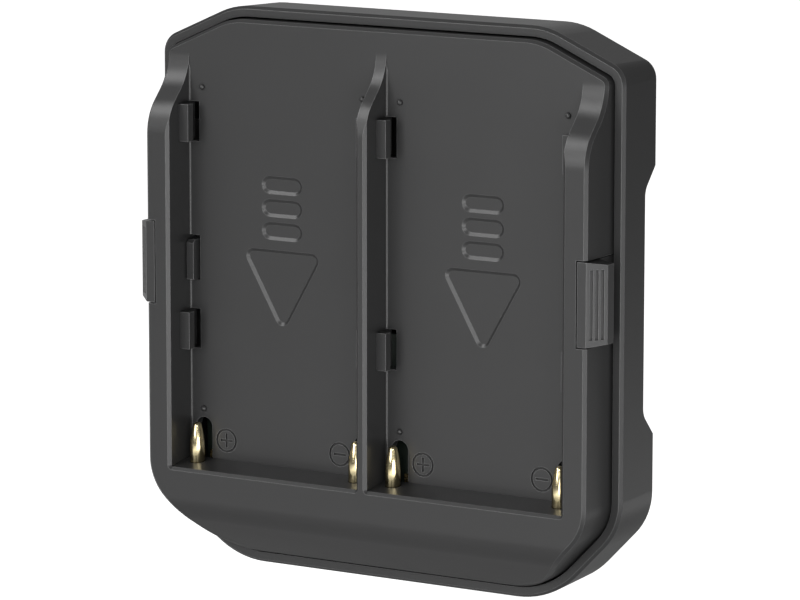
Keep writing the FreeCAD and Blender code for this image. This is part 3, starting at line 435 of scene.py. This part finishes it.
def pin_profile(radius, height):
    """A straight shank, a taper that grows with height, and a round nose."""
    shoulder = height - PIN_TOP_GAP - PIN_NOSE
    points = [(radius, 0.0), (radius, PIN_STRAIGHT)]
    for step in range(1, PIN_TAPER_STEPS + 1):
        share = step / PIN_TAPER_STEPS
        points.append((radius + (PIN_NOSE_RADIUS - radius) * share ** PIN_TAPER_CURVE,
                       PIN_STRAIGHT + (shoulder - PIN_STRAIGHT) * share))
    nose = round_end(PIN_NOSE_RADIUS, PIN_NOSE, PIN_NOSE_STEPS, PIN_NOSE_FLAT)
    points.extend((across, shoulder + rise) for across, rise in nose[1:])
    return points


def add_pins():
    """Smooth turned pins in the place of the faceted ones."""
    for side in ("left", "right"):
        for pole in ("positive", "negative"):
            node = f"{side}_{pole}_pin"
            low, high = (Vector(corner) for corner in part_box(node))
            centre = (low + high) / 2
            shape = bmesh.new()
            profile = pin_profile((high.x - low.x) / 2, high.z - low.z)
            turn_profile(shape, profile, Matrix.Translation((centre.x, centre.y, low.z)), PIN_SIDES)
            pin = add_piece(smooth_mesh(node + "_turned", shape), "contact_gold")
            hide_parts(node)


def add_pips():
    """Small domes on the bay floors that the battery slides on."""
    dome = round_end(PIP_RADIUS, PIP_RISE, PIP_STEPS, PIP_FLAT)
    forward = Matrix.Rotation(math.pi / 2, 4, "X")
    shape = bmesh.new()
    for side in (-1, 1):
        for end in (-1, 1):
            for height in PIP_HEIGHTS:
                place = Matrix.Translation((side * BAY_X + end * PIP_X, BAY_FLOOR_Y, height))
                turn_profile(shape, dome, place @ forward, PIP_SIDES)
    add_piece(smooth_mesh("floor_pips", shape), "tray_plastic")


def coil(shape, centre, radius, length):
    """Round wire wound about the Y axis."""
    along = Vector((0, 1, 0))
    steps = SPRING_STEPS_PER_TURN * SPRING_TURNS
    rings = []
    for step in range(steps + 1):
        share = step / steps
        angle = 2 * math.pi * SPRING_TURNS * share
        outward = Vector((math.cos(angle), 0, math.sin(angle)))
        middle = centre + outward * radius + along * ((share - 0.5) * (length - SPRING_WIRE))
        offsets = [outward * math.cos(turn) + along * math.sin(turn)
                   for turn in whole_turn(SPRING_WIRE_SIDES)]
        rings.append([shape.verts.new(middle + offset * SPRING_WIRE / 2) for offset in offsets])
    bridge(shape, rings)


def add_springs():
    """Smooth wire springs in the place of the faceted ones."""
    for side in ("left", "right"):
        node = f"{side}_latch_spring"
        low, high = (Vector(corner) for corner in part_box(node))
        length = high.y - low.y
        shape = bmesh.new()
        coil(shape, (low + high) / 2, (high.x - low.x - SPRING_WIRE) / 2, length)
        spring = add_piece(smooth_mesh(node + "_wire", shape), "spring_steel")
        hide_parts(node)
        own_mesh(spring)


# Stage

def look_from(azimuth, elevation, distance):
    """The point that sees the camera's target from this side, at this distance."""
    level = math.cos(elevation)
    away = Vector((math.sin(azimuth) * level, -math.cos(azimuth) * level, math.sin(elevation)))
    return CAMERA_TARGET + away * distance


def add_camera():
    """The camera that was fitted to the photograph."""
    data = bpy.data.cameras.new("camera")
    data.sensor_width = SENSOR_WIDTH
    data.lens = SENSOR_WIDTH * FOCAL_LENGTH_PX / IMAGE_WIDTH_PX
    data.clip_start = CAMERA_NEAREST
    camera = bpy.data.objects.new("camera", data)
    camera.location = look_from(CAMERA_AZIMUTH, CAMERA_ELEVATION, CAMERA_DISTANCE)
    tilt = Matrix.Rotation(math.pi / 2 - CAMERA_ELEVATION, 4, "X")
    turn = Matrix.Rotation(CAMERA_AZIMUTH, 4, "Z") @ tilt @ Matrix.Rotation(CAMERA_ROLL, 4, "Z")
    camera.rotation_euler = turn.to_euler()
    bpy.context.scene.collection.objects.link(camera)
    bpy.context.scene.camera = camera


def add_lamp(name, azimuth, elevation, distance, width, height, radiance):
    """A soft box that faces the part, as bright as its radiance all over."""
    data = bpy.data.lights.new(name, "AREA")
    data.shape = "RECTANGLE"
    data.size = width
    data.size_y = height
    data.energy = radiance * math.pi * width * height
    lamp = bpy.data.objects.new(name, data)
    lamp.location = look_from(math.radians(azimuth), math.radians(elevation), distance)
    lamp.rotation_euler = (lamp.location - CAMERA_TARGET).to_track_quat("Z", "Y").to_euler()
    lamp.visible_camera = False
    bpy.context.scene.collection.objects.link(lamp)


def add_world():
    """One plain level of light from all round."""
    world = bpy.data.worlds.new("studio")
    world.use_nodes = True
    bpy.context.scene.world = world
    background = world.node_tree.nodes["Background"]
    background.inputs["Color"].default_value = (1, 1, 1, 1)
    background.inputs["Strength"].default_value = STUDIO_LEVEL


def seen_directly(shader):
    """One for camera, glossy and transmission rays, and zero for the rays that carry light."""
    path = shader.add("ShaderNodeLightPath").outputs
    seen = shader.combine("MAXIMUM", path["Is Camera Ray"], path["Is Glossy Ray"])
    return shader.combine("MAXIMUM", seen, path["Is Transmission Ray"])


def white_share(shader):
    """How far the floor has turned white: in a soft band along the view, away from the part."""
    reach = shader.add("ShaderNodeVectorMath", operation="LENGTH")
    shader.link(shader.place, reach.inputs[0])
    axes = shader.add("ShaderNodeSeparateXYZ")
    shader.link(shader.place, axes.inputs["Vector"])
    across = shader.combine("ABSOLUTE", axes.outputs["X"])
    distant = shader.spread(reach.outputs["Value"], 0.0, 1.0, WHITE_STARTS)
    central = shader.spread(across, 1.0, 0.0, WHITE_ENDS_ACROSS)
    return shader.combine("MULTIPLY", distant, central)


def floor_material():
    """Plain grey that takes the shadow, and white where the floor is the background."""
    shader = Shader("floor")
    shader.bsdf.inputs["Base Color"].default_value = (FLOOR_GREY, FLOOR_GREY, FLOOR_GREY, 1)
    shader.bsdf.inputs["Roughness"].default_value = FLOOR_ROUGHNESS
    glow = shader.add("ShaderNodeEmission")
    strength = shader.combine("MULTIPLY", seen_directly(shader), white_share(shader))
    shader.link(strength, glow.inputs["Strength"])
    both = shader.add("ShaderNodeAddShader")
    shader.link(shader.bsdf.outputs["BSDF"], both.inputs[0])
    shader.link(glow.outputs["Emission"], both.inputs[1])
    shader.link(both.outputs["Shader"], shader.tree.nodes["Material Output"].inputs["Surface"])
    return shader.material


def add_floor():
    """A wide pale floor below the part, turned to the camera."""
    mesh = bpy.data.meshes.new("floor")
    corners = [(x * FLOOR_HALF, y * FLOOR_HALF, 0) for x, y in ((-1, -1), (1, -1), (1, 1), (-1, 1))]
    mesh.from_pydata(corners, [], [(0, 1, 2, 3)])
    mesh.materials.append(floor_material())
    floor = bpy.data.objects.new("floor", mesh)
    floor.location.z = CAD_BOX[0][2] - FLOOR_DROP
    floor.rotation_euler.z = CAMERA_AZIMUTH
    bpy.context.scene.collection.objects.link(floor)


dress_nodes()
add_tray()
add_pins()
add_pips()
add_springs()
add_camera()
add_floor()
add_world()
for name, numbers in SOFT_BOXES.items():
    add_lamp(name, *numbers)
bpy.context.scene.view_settings.view_transform = "Standard"
